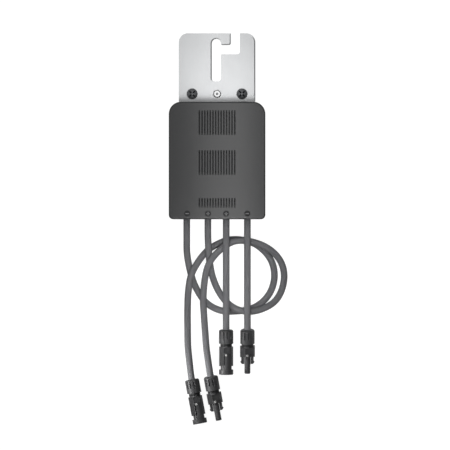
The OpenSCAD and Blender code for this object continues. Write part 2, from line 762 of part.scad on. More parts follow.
// Recess of some width, depth and length, front and back, that falls away from the high cheek
module sloped_recess(size, from) {
    for (a = [0, 180]) rotate([0, 0, a]) translate([slit_x, core_r - size[1], from])
        rotate([0, 0, -recess_tilt]) cube([size[0], core_r, size[2]]);
}

// Room for the cable's end, its crimp and the contact's shoulder
module contact_room() translate([0, 0, neck_from - past])
    cylinder(r = cable_r + 3 * slip, h = shoulder_to + slip - neck_from + past);

module barrel_connector(i) color(connector_colour) at_end(i) difference() {
    union() {
        connector_body(barrel_w, barrel_len);
        translate([0, 0, barrel_to - past]) cylinder(r = core_r, h = window_len + 2 * past);
        translate([0, 0, ring_from]) rotate_extrude() {
            square([ring_d / 2, ring_len - ring_edge_r]);
            square([ring_d / 2 - ring_edge_r, ring_len]);
            translate([ring_d / 2 - ring_edge_r, ring_len - ring_edge_r]) circle(r = ring_edge_r);
        }
    }
    contact_room();
    translate([0, 0, shoulder_from])
        cylinder(r = contact_r + pin_room, h = barrel_end - shoulder_from + past);
    translate([0, 0, mouth_from]) cylinder(r = mouth_r, h = mouth_depth + past);
    // Passage for the mating latch arms, which opens at the side windows
    translate([-core_r - slip, -arm_w / 2 - slip, barrel_to])
        cube([2 * core_r + 2 * slip, arm_w + 2 * slip, barrel_end - barrel_to + past]);
    // Slits beside the cheeks
    for (a = [0, 180]) rotate([0, 0, a])
        translate([slit_x, core_r, barrel_to - slit_end - slit_len]) linear_extrude(slit_len) polygon([
            [0, past], [0, 0], [(slit_w - slit_floor) / 2, -slit_depth],
            [(slit_w + slit_floor) / 2, -slit_depth], [slit_w, 0], [slit_w, past]]);
    sloped_recess(barrel_recess, barrel_recess_from);
}

// One latch arm with its hook, in the plane of the axis
module latch_arm() {
    outer = arm_span / 2;
    hook = hook_span / 2;
    rotate([90, 0, 0]) translate([0, 0, -arm_w / 2]) linear_extrude(arm_w) polygon([
        [outer - arm_t, latch_to - past], [outer, latch_to - past], [outer, arm_to - hook_len],
        [hook, arm_to - hook_len + hook_back], [hook, arm_to - hook_len + hook_back + hook_face],
        [outer - hook_taper, arm_to], [outer - arm_t, arm_to]]);
}

module latch_connector(i) color(connector_colour) at_end(i) difference() {
    union() {
        connector_body(latch_w, latch_len);
        for (a = [0, 180]) rotate([0, 0, a]) latch_arm();
    }
    contact_room();
    translate([0, 0, shoulder_to]) cylinder(r = nose_root_r + slip, h = latch_to - shoulder_to + past);
    sloped_recess(latch_recess, latch_recess_from);
}

// Nose sleeve around the socket, pushed into the latch body, with a groove for its O-ring
module nose_sleeve(i) color(connector_colour) at_end(i) difference() {
    union() {
        translate([0, 0, sleeve_from]) cylinder(r = nose_root_r, h = nose_end - nose_tip_len - sleeve_from);
        translate([0, 0, nose_end - nose_tip_len - past]) cylinder(r = nose_r, h = nose_tip_len + past);
    }
    translate([0, 0, sleeve_from - past]) {
        cylinder(r = socket_r + slip, h = socket_to - sleeve_from + past);
        cylinder(r = contact_r + 3 * slip, h = nose_end - sleeve_from + 2 * past);
    }
    translate([0, 0, o_ring_at]) rotate_extrude()
        translate([o_ring_seat_r, -o_ring_r]) square([2 * o_ring_r, 2 * o_ring_r]);
}

// Crimp barrel and locking shoulder that both contacts share
module contact_root() {
    translate([0, 0, cable_inside + slip]) cylinder(r = crimp_r, h = crimp_len);
    translate([0, 0, shoulder_from]) cylinder(r = shoulder_r, h = shoulder_len);
}

module contact_pin(i) color(tin_colour) at_end(i) {
    contact_root();
    translate([0, 0, shoulder_from]) cylinder(r = contact_r, h = pin_end - shoulder_from - pin_tip);
    translate([0, 0, pin_end - pin_tip]) cylinder(r1 = contact_r, r2 = contact_r - pin_taper, h = pin_tip);
}

module contact_socket(i) color(tin_colour) at_end(i) difference() {
    union() {
        contact_root();
        translate([0, 0, shoulder_from]) cylinder(r = socket_r, h = socket_to - slip - shoulder_from);
    }
    translate([0, 0, shoulder_to + socket_floor])
        cylinder(r = contact_r + 0.5 * slip, h = socket_to - shoulder_to);
}

module o_ring(i) color(rubber_colour) at_end(i) translate([0, 0, o_ring_at]) rotate_extrude()
    translate([o_ring_seat_r + o_ring_r + 0.5 * slip, 0]) circle(r = o_ring_r - 0.5 * slip);

front_housing();
rear_cover();
rear_gasket();
cover_screws();
mounting_bracket();
bracket_screws();
bracket_rivet();
circuit_board();
board_screws();
inductor_core();
inductor_winding();
input_capacitors();
output_capacitors();
power_transistors();
thermal_pad();
controller_chips();
cable_terminals();
grommet(0);  // input_negative_grommet
grommet(1);  // input_positive_grommet
grommet(2);  // output_positive_grommet
grommet(3);  // output_negative_grommet
cable(0);  // input_negative_cable
cable(1);  // input_positive_cable
cable(2);  // output_positive_cable
cable(3);  // output_negative_cable
gland_nut(0);  // input_negative_nut
gland_nut(1);  // input_positive_nut
gland_nut(2);  // output_positive_nut
gland_nut(3);  // output_negative_nut
cable_seal(0);  // input_negative_seal
cable_seal(1);  // input_positive_seal
cable_seal(2);  // output_positive_seal
cable_seal(3);  // output_negative_seal
barrel_connector(0);  // input_negative_barrel
latch_connector(1);  // input_positive_latch
barrel_connector(2);  // output_positive_barrel
latch_connector(3);  // output_negative_latch
contact_pin(0);  // input_negative_pin
contact_socket(1);  // input_positive_socket
contact_pin(2);  // output_positive_pin
contact_socket(3);  // output_negative_socket
nose_sleeve(1);  // input_positive_sleeve
nose_sleeve(3);  // output_negative_sleeve
o_ring(1);  // input_positive_o_ring
o_ring(3);  // output_negative_o_ring
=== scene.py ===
# Power optimizer for a solar panel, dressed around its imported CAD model
import json
from math import cos, pi, radians, sin

import bmesh
import bpy
from mathutils import Matrix, Vector
from mathutils.geometry import interpolate_bezier


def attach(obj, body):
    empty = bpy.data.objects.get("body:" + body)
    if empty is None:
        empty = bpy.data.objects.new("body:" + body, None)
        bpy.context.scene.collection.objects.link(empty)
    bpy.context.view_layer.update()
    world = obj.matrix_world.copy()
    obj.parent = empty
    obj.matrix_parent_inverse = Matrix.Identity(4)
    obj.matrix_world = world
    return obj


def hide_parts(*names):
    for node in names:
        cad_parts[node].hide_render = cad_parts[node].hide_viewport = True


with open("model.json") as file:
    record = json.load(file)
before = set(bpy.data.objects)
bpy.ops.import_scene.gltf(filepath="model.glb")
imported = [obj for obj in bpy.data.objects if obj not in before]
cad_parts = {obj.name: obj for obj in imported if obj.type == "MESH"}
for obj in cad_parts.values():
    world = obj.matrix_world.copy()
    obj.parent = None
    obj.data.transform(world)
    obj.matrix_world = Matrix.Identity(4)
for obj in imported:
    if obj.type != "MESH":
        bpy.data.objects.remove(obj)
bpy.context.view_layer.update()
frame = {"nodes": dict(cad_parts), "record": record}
nodes = frame["nodes"]
scene = bpy.context.scene
scene.view_settings.view_transform = "Standard"
mm = 0.001  # in metres
smoothBelow = 40.0  # degrees between faces
print("frame loaded with", len(nodes), "nodes")

# The photograph looks straight down on the part through a long lens: millimetres, and clipEnd in metres
cameraSettings = {"middle": (10.6, -132.1), "height": 12000, "level": 21, "frameWidth": 601.6,
                  "sensor": 36, "clipEnd": 40}


def placeCamera(settings):
    data = bpy.data.cameras.new("camera")
    camera = bpy.data.objects.new("camera", data)
    scene.collection.objects.link(camera)
    camera.location = [v * mm for v in (*settings["middle"], settings["height"])]
    data.sensor_width = settings["sensor"]
    data.lens = settings["sensor"] * (settings["height"] - settings["level"]) / settings["frameWidth"]
    data.clip_end = settings["clipEnd"]
    scene.camera = camera


placeCamera(cameraSettings)
print("camera placed")


# Makes an object of a shape, with edges below some angle shaded smooth, and lets it ride with the part
def linkPiece(name, shape, smooth=smoothBelow):
    mesh = bpy.data.meshes.new(name)
    shape.to_mesh(mesh)
    shape.free()
    mesh.polygons.foreach_set("use_smooth", [True] * len(mesh.polygons))
    mesh.set_sharp_from_angle(angle=radians(smooth))
    piece = bpy.data.objects.new(name, mesh)
    scene.collection.objects.link(piece)
    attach(piece, "root")
    return piece


# Cables: route points in millimetres as x, distance below the housing's bottom edge, height
cableSettings = {
    "diameter": 9.0, "wallY": -124.5, "startY": -109.5, "wallZ": 22.5, "insideNut": 16.0,
    "floorGap": 0.05, "stepsBetweenPoints": 10, "roundness": 6, "mergeWithin": 0.002,
}
# Connectors: x and y of the cable's end, turn and dip in degrees, and the radius and distance along of the
# place that each one lies on, which is its nut, its widest ring or the tip of its nose
connectors = {
    "input_negative": {"end": (-33.9, -338.5), "turn": 10.8, "dip": 0.0, "restRadius": 9.6, "restAt": 0.0,
                       "housing": "barrel", "contact": "pin"},
    "input_positive": {"end": (-8.7, -334.5), "turn": 10.6, "dip": 6.2, "restRadius": 9.6, "restAt": 18.8,
                       "housing": "latch", "contact": "socket"},
    "output_positive": {"end": (12.1, -272.0), "turn": 0.0, "dip": 3.6, "restRadius": 9.6, "restAt": 60.3,
                        "housing": "barrel", "contact": "pin"},
    "output_negative": {"end": (40.6, -272.0), "turn": 0.0, "dip": 14.0, "restRadius": 3.95, "restAt": 60.3,
                        "housing": "latch", "contact": "socket"},
}
cableRoutes = {
    "input_negative": {"wallX": -40.5, "length": 0.58, "points": [
        (-40.5, 24, 18.4), (-40, 47, 9.4), (-35, 73, 5.1), (-27.5, 93, 4.7), (-14, 112, 4.6), (5, 122, 4.6),
        (26, 123, 4.6), (46, 119.5, 4.6), (63, 108.5, 4.6), (74, 91, 4.6), (76.5, 70, 4.6), (70, 51, 4.6),
        (54, 35, 4.6), (36, 28, 4.6), (16, 27.5, 4.6), (-1, 34, 4.6), (-13, 42, 4.6), (-25, 56.5, 8.2),
        (-34.7, 75, 14.2), (-38.5, 97, 11.5), (-39.5, 120, 6.5), (-39.5, 145, 4.7), (-39, 170, 5.2),
        (-36.8, 192, 8)]},
    "input_positive": {"wallX": -12.25, "length": 0.56, "points": [
        (-12.2, 22, 19), (-11.4, 40.5, 14.8), (-9.8, 58, 11.2), (-6, 77, 6.4), (2.5, 97, 5.2),
        (14.5, 112.5, 9), (28, 120.8, 13.8), (45, 123.3, 13.9), (63, 118.8, 10.5), (78, 109, 6),
        (87, 93, 4.7), (89.7, 73, 4.6), (84.5, 55.5, 5.5), (72, 41.5, 10.4), (55, 32.5, 13.8),
        (36, 28.5, 14.1), (20, 30.5, 14.1), (4, 41, 16), (-9.5, 57, 20.8), (-15.5, 75, 19.4),
        (-18.5, 106.5, 14.4), (-17.5, 128, 9.8), (-16, 150, 5.8), (-14.3, 172, 5.8), (-11.6, 191, 9)]},
    "output_positive": {"wallX": 12.25, "length": 0.179, "points": [
        (12.2, 34, 24.2), (12.2, 60, 23), (12.2, 86, 20.8), (12.2, 110, 18.4), (12.1, 130, 15.6)]},
    "output_negative": {"wallX": 40.5, "length": 0.179, "points": [
        (40.5, 29, 23.6), (40.5, 55, 24), (40.5, 80, 24), (40.5, 103, 24), (40.5, 123, 23.5)]},
}


# The cable end of a gland nut, at the height that puts the connector on the floor
def connectorEnd(connector):
    dip = radians(connector["dip"])
    height = connector["restRadius"] * cos(dip) + connector["restAt"] * sin(dip) + cableSettings["floorGap"]
    return Vector((*connector["end"], height))


# Places a shape whose axis is z, with z = 0 at the cable end of the gland nut
def connectorFrame(connector):
    turned = Matrix.Rotation(radians(connector["turn"]), 4, "Z")
    laid = Matrix.Rotation(radians(90 + connector["dip"]), 4, "X")
    return Matrix.Translation(connectorEnd(connector) * mm) @ turned @ laid


# From inside the housing through its wall, along the route and into the nut
def cablePoints(name, settings):
    route, connector = cableRoutes[name], connectors[name]
    along = connectorFrame(connector).to_3x3() @ Vector((0, 0, 1))
    end = connectorEnd(connector)
    points = [Vector((route["wallX"], settings["startY"], settings["wallZ"])),
              Vector((route["wallX"], settings["wallY"], settings["wallZ"]))]
    points += [Vector((x, settings["wallY"] - down, z)) for x, down, z in route["points"]]
    return [p * mm for p in points + [end, end + along * settings["insideNut"]]]


# Lays a round tube along a smooth line through the points, and returns it with that line
def makeCable(name, settings):
    points = cablePoints(name, settings)
    data = bpy.data.curves.new(name + "_line", "CURVE")
    data.dimensions = "3D"
    data.resolution_u = settings["stepsBetweenPoints"]
    data.bevel_depth = settings["diameter"] * mm / 2
    data.bevel_resolution = settings["roundness"]
    data.use_fill_caps = True
    spline = data.splines.new("BEZIER")
    spline.bezier_points.add(len(points) - 1)
    knots = spline.bezier_points
    last = len(points) - 1
    for i, knot in enumerate(knots):
        before, after = points[max(i - 1, 0)], points[min(i + 1, last)]
        if i == 1:  # straight through the wall and into the nut
            along = points[1] - points[0]
        elif i == last - 1:
            along = points[last] - points[last - 1]
        else:
            along = after - before
        along.normalize()
        knot.handle_left_type = knot.handle_right_type = "FREE"
        knot.co = points[i]
        knot.handle_left = points[i] - along * (points[i] - before).length / 3
        knot.handle_right = points[i] + along * (after - points[i]).length / 3
    line = [points[0]]
    for knot, following in zip(knots[:-1], knots[1:]):
        line += interpolate_bezier(knot.co, knot.handle_right, following.handle_left, following.co,
                                   settings["stepsBetweenPoints"] + 1)[1:]
    curve = bpy.data.objects.new(name + "_line", data)
    shape = bmesh.new()
    shape.from_mesh(bpy.data.meshes.new_from_object(curve))
    bpy.data.objects.remove(curve)
    bmesh.ops.remove_doubles(shape, verts=shape.verts, dist=settings["mergeWithin"] * mm)
    bmesh.ops.recalc_face_normals(shape, faces=shape.faces)
    cable = linkPiece(name + "_cable_jacket", shape)
    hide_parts(name + "_cable")
    return cable, line


cables, cableLines = {}, {}
for name in connectors:
    cables[name], cableLines[name] = makeCable(name, cableSettings)
print("cables laid:", ", ".join(cables))

# Small edge roundings on copies of the stamped and moulded CAD solids, in millimetres and degrees
edgeSettings = {
    "mergeWithin": 0.002, "flatBelow": 1.0, "sharpAbove": 35.0, "segments": 3,
    "upAbove": 0.99, "rollWidth": 1.7, "rollDrop": 1.0, "shrunkBelow": 0.25, "sheetSmoothBelow": 15.0,
    "foot": {"y": 32.9, "wallY": 32.5, "length": 9.4, "drop": 0.9, "cuts": 6},
    "widths": {"bracket_screws": 0.3, "bracket_rivet": 0.2, "nut": 0.3, "barrel": 0.3,
               "latch": 0.3, "sleeve": 0.3},
    "slit": {"left": -3.2, "right": -1.6, "floor": 5.3, "from": 35.5, "to": 47.4, "deeper": 0.9,
             "within": 0.05},
}


# A node's shape with its flat faces whole again
def cleanShape(nodeName, settings):
    shape = bmesh.new()
    shape.from_mesh(nodes[nodeName].data)
    bmesh.ops.remove_doubles(shape, verts=shape.verts, dist=settings["mergeWithin"] * mm)
    bmesh.ops.dissolve_limit(shape, angle_limit=radians(settings["flatBelow"]), verts=shape.verts,
                             edges=shape.edges)
    return shape


# Levels the shading of flat faces and puts the copy in the node's place
def finishCopy(nodeName, shape, smooth):
    piece = linkPiece(nodeName + "_rounded", shape, smooth)
    level = piece.modifiers.new("level_faces", "WEIGHTED_NORMAL")
    level.keep_sharp = True
    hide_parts(nodeName)
    return piece


# The moulded slit beside a barrel's high cheek gets steep walls and a deeper floor, and keeps its crisp edges
def deepenSlit(shape, connector, slit):
    place, near = connectorFrame(connector), slit["within"]
    back = place.inverted()
    crisp = set()
    for vert in shape.verts:
        x, y, z = back @ vert.co / mm
        if slit["left"] - near < x < slit["right"] + near and slit["from"] < z < slit["to"] and y > 0:
            crisp.add(vert)
            if abs(y - slit["floor"]) < near:
                side = slit["left"] if x < (slit["left"] + slit["right"]) / 2 else slit["right"]
                vert.co = place @ (Vector((side, y - slit["deeper"], z)) * mm)
    return crisp


# Rounds the sharp outer edges of a copy, and where a connector is given deepens its slit first
def softenedCopy(nodeName, width, settings, connector=None):
    shape = cleanShape(nodeName, settings)
    crisp = deepenSlit(shape, connector, settings["slit"]) if connector else set()
    sharp = [e for e in shape.edges if len(e.link_faces) == 2 and not crisp.issuperset(e.verts)
             and e.calc_face_angle() > radians(settings["sharpAbove"]) and e.is_convex]
    bmesh.ops.bevel(shape, geom=sharp, offset=width * mm, offset_type="OFFSET", affect="EDGES",
                    segments=settings["segments"], profile=0.5, material=-1, clamp_overlap=True)
    return finishCopy(nodeName, shape, smoothBelow)


# Stamped sheet: upper edges that face right or down roll down, and the foot dips to meet the housing
def stampedCopy(nodeName, settings):
    shape = cleanShape(nodeName, settings)
    foot, near = settings["foot"], settings["mergeWithin"] * mm
    edgeY, start = foot["y"] * mm, (foot["y"] + foot["length"]) * mm
    level = max(v.co.z for v in shape.verts)
    top = [f for f in shape.faces if f.normal.z > settings["upAbove"]]
    rim = bmesh.ops.inset_region(shape, faces=top, thickness=settings["rollWidth"] * mm, use_boundary=True,
                                 use_even_offset=True)
    tangled = []  # inner edges that a tight corner has shrunk or turned round
    for loop in (loop for face in rim["faces"] for loop in face.loops):
        across = loop.link_loop_next.link_loop_next
        along = loop.link_loop_next.vert.co - loop.vert.co
        onWall = any(abs(f.normal.z) < 1 - settings["upAbove"] for f in loop.edge.link_faces)
        inner = across.vert.co - across.link_loop_next.vert.co
        if onWall and along.dot(inner) < settings["shrunkBelow"] * along.length_squared:
            tangled.append(across.edge)
    bmesh.ops.collapse(shape, edges=tangled)
    for vert in shape.verts:
        walls = [f.normal for f in vert.link_faces if abs(f.normal.z) < 1 - settings["upAbove"]]
        if walls and level - vert.co.z < near and vert.co.y > edgeY + near:
            facing = sum(walls, Vector()).normalized()
            share = min(max(facing.x - facing.y, 0), 1)
            bmesh.ops.translate(shape, verts=[vert], vec=(0, 0, -share * settings["rollDrop"] * mm))
    for cut in range(foot["cuts"]):
        bmesh.ops.bisect_plane(shape, geom=shape.verts[:] + shape.edges[:] + shape.faces[:],
                               plane_co=(0, start - cut * foot["length"] / foot["cuts"] * mm, 0),
                               plane_no=(0, 1, 0))
    for vert in shape.verts:
        past = (start - vert.co.y) / (foot["length"] * mm)
        if past > 0 and level - vert.co.z < near:
            bmesh.ops.translate(shape, verts=[vert], vec=(0, 0, -foot["drop"] * mm * past ** 2))
    end = [v for v in shape.verts if v.co.y < edgeY + near]
    bmesh.ops.translate(shape, verts=end, vec=(0, foot["wallY"] * mm - edgeY, 0))
    return finishCopy(nodeName, shape, settings["sheetSmoothBelow"])


rounded = {"mounting_bracket": stampedCopy("mounting_bracket", edgeSettings)}
for nodeName, slot in (("bracket_screws", "screw_steel"), ("bracket_rivet", "rivet_aluminium")):
    rounded[nodeName] = softenedCopy(nodeName, edgeSettings["widths"][nodeName], edgeSettings)
for name, connector in connectors.items():
    for part in ("nut", connector["housing"]) + (("sleeve",) if connector["housing"] == "latch" else ()):
        rounded[name + "_" + part] = softenedCopy(
            name + "_" + part, edgeSettings["widths"][part], edgeSettings,
            connector if part == "barrel" else None)
print("edges rounded on", len(rounded), "pieces")

# Thread that shows on each connector's neck between the nut and the body
threadSettings = {"from": 19.0, "pitch": 1.5, "turns": 2.2, "rootRadius": 7.42, "crestRadius": 8.0,
                  "footWidth": 1.3, "crestFrom": 0.4, "crestTo": 0.6, "stepsPerTurn": 40}


def makeThread(name, settings):
    shape = bmesh.new()
    foot = settings["footWidth"]
    corners = [shape.verts.new((r * mm, 0, (settings["from"] + z) * mm)) for r, z in (
        (settings["rootRadius"], 0), (settings["crestRadius"], settings["crestFrom"] * foot),
        (settings["crestRadius"], settings["crestTo"] * foot), (settings["rootRadius"], foot))]
    ridge = [shape.edges.new((corners[i], corners[(i + 1) % 4])) for i in range(4)]
    steps = round(settings["stepsPerTurn"] * settings["turns"])
    bmesh.ops.spin(shape, geom=corners + ridge, axis=(0, 0, 1), cent=(0, 0, 0),
                   dvec=(0, 0, settings["pitch"] * settings["turns"] * mm / steps),
                   angle=2 * pi * settings["turns"], steps=steps)
    bmesh.ops.holes_fill(shape, edges=[e for e in shape.edges if e.is_boundary], sides=4)
    bmesh.ops.recalc_face_normals(shape, faces=shape.faces)
    bmesh.ops.transform(shape, matrix=connectorFrame(connectors[name]), verts=shape.verts)
    return linkPiece(name + "_neck_thread", shape)


threads = {name: makeThread(name, threadSettings) for name in connectors}
print("neck threads cut")

# Polarity marks: dark discs with a lighter plus or minus, above each cable
markSettings = {"y": -116.9, "face": 42.0, "radius": 4.0, "thickness": 0.15, "signSpan": 4.6,
                "signWidth": 1.3, "signRise": 0.12, "edge": 0.05, "rimAbove": 60, "edgeSegments": 2,
                "sides": 48, "signs": {-39.9: "minus", -12.1: "plus", 12.2: "plus", 40.4: "minus"}}


def makeMarks(settings):
    discs, signs = bmesh.new(), bmesh.new()
    for x, sign in settings["signs"].items():
        at = Vector((x, settings["y"], settings["face"]))
        disc = bmesh.ops.create_cone(
            discs, cap_ends=True, segments=settings["sides"], radius1=settings["radius"] * mm,
            radius2=settings["radius"] * mm, depth=2 * settings["thickness"] * mm)
        bmesh.ops.translate(discs, verts=disc["verts"], vec=at * mm)
        for turn in ((0, 90) if sign == "plus" else (0,)):
            bar = bmesh.ops.create_cube(signs, size=1)
            bmesh.ops.scale(signs, verts=bar["verts"], vec=(
                settings["signSpan"] * mm, settings["signWidth"] * mm,
                2 * (settings["thickness"] + settings["signRise"]) * mm))
            bmesh.ops.rotate(signs, verts=bar["verts"], cent=(0, 0, 0),
                             matrix=Matrix.Rotation(radians(turn), 3, "Z"))
            bmesh.ops.translate(signs, verts=bar["verts"], vec=at * mm)
    for shape in (discs, signs):
        rims = [e for e in shape.edges if e.calc_face_angle() > radians(settings["rimAbove"])]
        bmesh.ops.bevel(shape, geom=rims, offset=settings["edge"] * mm, offset_type="OFFSET", affect="EDGES",
                        segments=settings["edgeSegments"], profile=0.5, material=-1)
    return (linkPiece("polarity_discs", discs),
            linkPiece("polarity_signs", signs))


polarityDiscs, polaritySigns = makeMarks(markSettings)
print("polarity marks made")

# Pale dot on the small boss that stands on top of each connector body: a painted highlight where the boss
# catches the light
dotSettings = {"along": 34.09, "bossTop": 8.4, "radius": 1.5, "thickness": 0.25, "edge": 0.1, "rimAbove": 60,
               "edgeSegments": 2, "sides": 32}


def makeDot(name, settings):
    shape = bmesh.new()
    bmesh.ops.create_cone(shape, cap_ends=True, segments=settings["sides"], radius1=settings["radius"] * mm,
                          radius2=settings["radius"] * mm, depth=2 * settings["thickness"] * mm,
                          matrix=Matrix.Rotation(radians(90), 4, "X"))
    rims = [e for e in shape.edges if e.calc_face_angle() > radians(settings["rimAbove"])]
    bmesh.ops.bevel(shape, geom=rims, offset=settings["edge"] * mm, offset_type="OFFSET", affect="EDGES",
                    segments=settings["edgeSegments"], profile=0.5, material=-1)
    at = Matrix.Translation(Vector((0, settings["bossTop"], settings["along"])) * mm)
    bmesh.ops.transform(shape, matrix=connectorFrame(connectors[name]) @ at, verts=shape.verts)
    return linkPiece(name + "_body_dot", shape)


dots = {name: makeDot(name, dotSettings) for name in connectors}
print("body dots made")


# Turns an sRGB hex colour to linear values
def linear(hexColour):
    parts = [int(hexColour[i:i + 2], 16) / 255 for i in (1, 3, 5)]
    return [c / 12.92 if c <= 0.04045 else ((c + 0.055) / 1.055) ** 2.4 for c in parts] + [1]


# Adds one node with its settings, its fixed inputs and its links
def addNode(tree, kind, inputs=None, **settings):
    node = tree.nodes.new(kind)
    for name, value in settings.items():
        setattr(node, name, value)
    for name, value in (inputs or {}).items():
        if isinstance(value, bpy.types.NodeSocket):
            tree.links.new(value, node.inputs[name])
        else:
            node.inputs[name].default_value = value
    return node


# A material with its node tree, its shader and coordinates that follow the piece, which lies at the origin
def startMaterial(name, metallic=0.0, ior=1.5):
    material = bpy.data.materials.new(name)
    material.use_nodes = True
    tree = material.node_tree
    shader = tree.nodes["Principled BSDF"]
    shader.inputs["Metallic"].default_value = metallic
    shader.inputs["IOR"].default_value = ior
    place = addNode(tree, "ShaderNodeTexCoord").outputs["Object"]
    return material, tree, shader, place


# Links a two-tone colour, a roughness range and a bump to a shader
def finishSurface(tree, shader, colours, tone, roughness, rough, bumpHeight, bump):
    mix = addNode(tree, "ShaderNodeMix", {0: tone, 6: linear(colours[0]), 7: linear(colours[1])},
                  data_type="RGBA")
    spread = addNode(tree, "ShaderNodeMapRange", {"Value": rough, "To Min": roughness[0],
                                                  "To Max": roughness[1]})
    relief = addNode(tree, "ShaderNodeBump", {"Height": bump, "Strength": 1.0, "Distance": bumpHeight * mm})
    tree.links.new(mix.outputs[2], shader.inputs["Base Color"])
    tree.links.new(spread.outputs["Result"], shader.inputs["Roughness"])
    tree.links.new(relief.outputs["Normal"], shader.inputs["Normal"])


# Moulded plastics: cloudy flow tone, and the pebbled grain of the mould, drawn coarser than life to show
def mouldedPlastic(name, colours, roughness, grain, grainHeight, flow=18.0, ior=1.5):
    material, tree, shader, place = startMaterial(name, ior=ior)
    cloud = addNode(tree, "ShaderNodeTexNoise", {"Vector": place, "Scale": 1 / (flow * mm), "Detail": 3.0})
    pebble = addNode(tree, "ShaderNodeTexVoronoi", {"Vector": place, "Scale": 1 / (grain * mm)},
                     feature="SMOOTH_F1")
    fine = addNode(tree, "ShaderNodeTexNoise", {"Vector": place, "Scale": 2 / (grain * mm), "Detail": 2.0})
    grainMix = addNode(tree, "ShaderNodeMath", {0: pebble.outputs["Distance"], 1: fine.outputs["Fac"]},
                       operation="ADD")
    finishSurface(tree, shader, colours, cloud.outputs["Fac"], roughness, fine.outputs["Fac"], grainHeight,
                  grainMix.outputs[0])
    return material


# Rolled, turned and plated metal: streaks drawn out where a scale is small, or specks where all are equal,
# coarser than life to show
def brushedMetal(name, colours, roughness, streak, streakHeight, scales=(1.0, 0.04, 1.0), cloudSize=25.0):
    material, tree, shader, place = startMaterial(name, metallic=1.0)
    drawnOut = addNode(tree, "ShaderNodeMapping", {"Vector": place, "Scale": scales})
    lines = addNode(tree, "ShaderNodeTexNoise", {"Vector": drawnOut.outputs[0], "Scale": 1 / (streak * mm),
                                                 "Detail": 4.0, "Roughness": 0.6})
    cloud = addNode(tree, "ShaderNodeTexNoise", {"Vector": place, "Scale": 1 / (cloudSize * mm),
                                                 "Detail": 2.0})
    finishSurface(tree, shader, colours, cloud.outputs["Fac"], roughness, lines.outputs["Fac"], streakHeight,
                  lines.outputs["Fac"])
    return material


# Cast, blackened and sintered surfaces, rubbers and inks: fine grain in gloss and relief, and a cloudy tone
def grainySurface(name, colours, roughness, grain, grainHeight, metallic=0.0, ior=1.5, grainsPerCloud=8):
    material, tree, shader, place = startMaterial(name, metallic=metallic, ior=ior)
    speck = addNode(tree, "ShaderNodeTexNoise", {"Vector": place, "Scale": 1 / (grain * mm), "Detail": 5.0})
    cloud = addNode(tree, "ShaderNodeTexNoise", {"Vector": place, "Scale": 1 / (grainsPerCloud * grain * mm),
                                                 "Detail": 2.0})
    finishSurface(tree, shader, colours, cloud.outputs["Fac"], roughness, speck.outputs["Fac"], grainHeight,
                  speck.outputs["Fac"])
    return material


# Extruded cable jacket: dull skin with faint lengthwise die lines, fine specks and slow waves of tone
def extrudedJacket(name, colours, roughness, lineSpacing, lineHeight, ior, restarts=2.0, speckSize=0.9,
                   waveSize=14.0):
    material, tree, shader, place = startMaterial(name, ior=ior)
    wrap = addNode(tree, "ShaderNodeTexCoord").outputs["UV"]  # along the cable, then round it
    dieLines = round(pi * cableSettings["diameter"] / lineSpacing)
    stretched = addNode(tree, "ShaderNodeMapping", {"Vector": wrap, "Scale": (restarts, dieLines, 1.0)})
    lines = addNode(tree, "ShaderNodeTexNoise", {"Vector": stretched.outputs[0], "Scale": 1.0, "Detail": 3.0})
    speck = addNode(tree, "ShaderNodeTexNoise", {"Vector": place, "Scale": 1 / (speckSize * mm),
                                                 "Detail": 3.0})
    wave = addNode(tree, "ShaderNodeTexNoise", {"Vector": place, "Scale": 1 / (waveSize * mm), "Detail": 2.0})
    relief = addNode(tree, "ShaderNodeMath", {0: lines.outputs["Fac"], 1: speck.outputs["Fac"]},
                     operation="ADD")
    finishSurface(tree, shader, colours, wave.outputs["Fac"], roughness, speck.outputs["Fac"], lineHeight,
                  relief.outputs[0])
    return material


